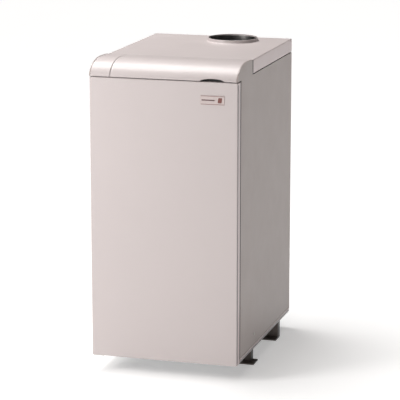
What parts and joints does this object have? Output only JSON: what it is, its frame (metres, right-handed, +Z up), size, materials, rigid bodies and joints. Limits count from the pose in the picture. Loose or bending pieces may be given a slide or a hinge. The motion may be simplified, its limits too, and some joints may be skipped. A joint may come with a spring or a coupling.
{
  "type": "floor-standing gas boiler with atmospheric burner",
  "caption": "Tall enamelled floor-standing gas boiler with a hinged door, a curved lift-up control flap, a round top flue collar and an atmospheric burner inside.",
  "frame": {"origin": "centre of the bounding box's footprint, on the floor under the feet", "axes": "+Z up, -Y out of the door, +X to the right of someone facing the door"},
  "size_m": [0.423, 0.632, 0.89],
  "materials": {
    "enamel": "warm grey-white satin enamel",
    "galvanised_sheet": "dull galvanised sheet",
    "black_steel": "black painted steel",
    "zinc_steel": "zinc plated",
    "foil_wool": "foil-faced mineral wool",
    "badge_trim": "pale plate with a dark bar and a red inlay, no lettering",
    "black_plastic": "moulded black plastic",
    "stainless": "heat-tinted stainless steel",
    "brass": "machined brass",
    "pipe_steel": "dark primed pipe",
    "cast_alloy": "die-cast, matt",
    "ceramic": "glazed ceramic",
    "sight_glass": "heat-tinted glass in a ring",
    "cast_iron": "rough dark cast iron",
    "red_plastic": "red plastic",
    "needle": "black painted needle",
    "panel_plastic": "dark grey moulded fascia",
    "box_plastic": "grey moulded housing"
  },
  "bodies": {
    "cabinet": {"base_tray": "galvanised_sheet", "body_insulation": "foil_wool", "burner_bar_1": "stainless", "burner_bar_2": "stainless", "burner_bar_3": "stainless", "burner_frame": "galvanised_sheet", "cable_gland": "black_plastic", "chamber_front_plate": "cast_alloy", "chamber_shell": "galvanised_sheet", "cleaning_cover": "galvanised_sheet", "control_box": "box_plastic", "control_panel": "panel_plastic", "door_hinge_lower": "zinc_steel", "door_hinge_upper": "zinc_steel", "drain_cock": "brass", "draught_diverter": "galvanised_sheet", "exchanger_section_1": "cast_iron", "exchanger_section_2": "cast_iron", "exchanger_section_3": "cast_iron", "exchanger_section_4": "cast_iron", "flap_hinge_left": "zinc_steel", "flap_hinge_right": "zinc_steel", "flow_pipe": "pipe_steel", "flue_collar": "black_steel", "flue_collector": "galvanised_sheet", "front_foot": "black_steel", "gas_inlet_pipe": "pipe_steel", "gas_manifold": "pipe_steel", "gas_valve": "cast_alloy", "gauge_case": "zinc_steel", "hood_end_piece": "enamel", "ignition_electrode": "ceramic", "injector_1": "brass", "injector_2": "brass", "injector_3": "brass", "magnet_catch": "black_plastic", "pilot_burner": "pipe_steel", "rear_foot": "black_steel", "rear_panel": "galvanised_sheet", "return_pipe": "pipe_steel", "side_panel_left": "enamel", "side_panel_right": "enamel", "side_screw_left": "zinc_steel", "side_screw_right": "zinc_steel", "sight_glass": "sight_glass", "tie_rod_lower": "zinc_steel", "tie_rod_upper": "zinc_steel", "top_cover": "enamel", "valve_coil": "black_plastic"},
    "door": {"door_panel": "enamel", "door_insulation": "foil_wool", "door_badge": "badge_trim"},
    "flap": {"control_flap": "enamel"},
    "thermostat": {"thermostat_knob": "black_plastic"},
    "switch": {"mains_switch": "black_plastic"},
    "button": {"reset_button": "red_plastic"},
    "temperature_needle": {"temperature_pointer": "needle"},
    "pressure_needle": {"pressure_pointer": "red_plastic"},
    "drain_lever": {"drain_cock_lever": "red_plastic"},
    "valve_knob": {"gas_valve_knob": "black_plastic"}
  },
  "joints": [
    {"name": "door_hinge", "type": "hinge", "parent": "cabinet", "child": "door", "pos_m": [-0.202, -0.3, 0.05], "axis": [0, 0, -1], "range_deg": [0, 115]},
    {"name": "flap_hinge", "type": "hinge", "parent": "cabinet", "child": "flap", "pos_m": [0, -0.157, 0.876], "axis": [-1, 0, 0], "range_deg": [0, 95]},
    {"name": "thermostat_turn", "type": "hinge", "parent": "cabinet", "child": "thermostat", "pos_m": [0.06, -0.23266, 0.85246], "axis": [0, 0.1392, -0.9903], "range_deg": [0, 270]},
    {"name": "mains_switch_rock", "type": "hinge", "parent": "cabinet", "child": "switch", "pos_m": [0.148, -0.23266, 0.85246], "axis": [1, 0, 0], "range_deg": [0, 16]},
    {"name": "reset_button_press", "type": "slide", "parent": "cabinet", "child": "button", "axis": [0, 0.1392, -0.9903], "range_m": [0, 0.003], "stiffness_N_per_m": 300},
    {"name": "temperature_needle_turn", "type": "hinge", "parent": "cabinet", "child": "temperature_needle", "pos_m": [-0.092, -0.22573, 0.85344], "axis": [0, 0.1392, -0.9903], "range_deg": [0, 110]},
    {"name": "pressure_needle_turn", "type": "hinge", "parent": "cabinet", "child": "pressure_needle", "pos_m": [-0.092, -0.23959, 0.85149], "axis": [0, -0.1392, 0.9903], "range_deg": [0, 110]},
    {"name": "drain_cock_turn", "type": "hinge", "parent": "cabinet", "child": "drain_lever", "pos_m": [-0.1275, -0.172, 0.3683], "axis": [0, 0, -1], "range_deg": [0, 90]},
    {"name": "gas_valve_turn", "type": "hinge", "parent": "cabinet", "child": "valve_knob", "pos_m": [0.03, -0.229, 0.224], "axis": [0, -1, 0], "range_deg": [0, 90]}
  ]
}
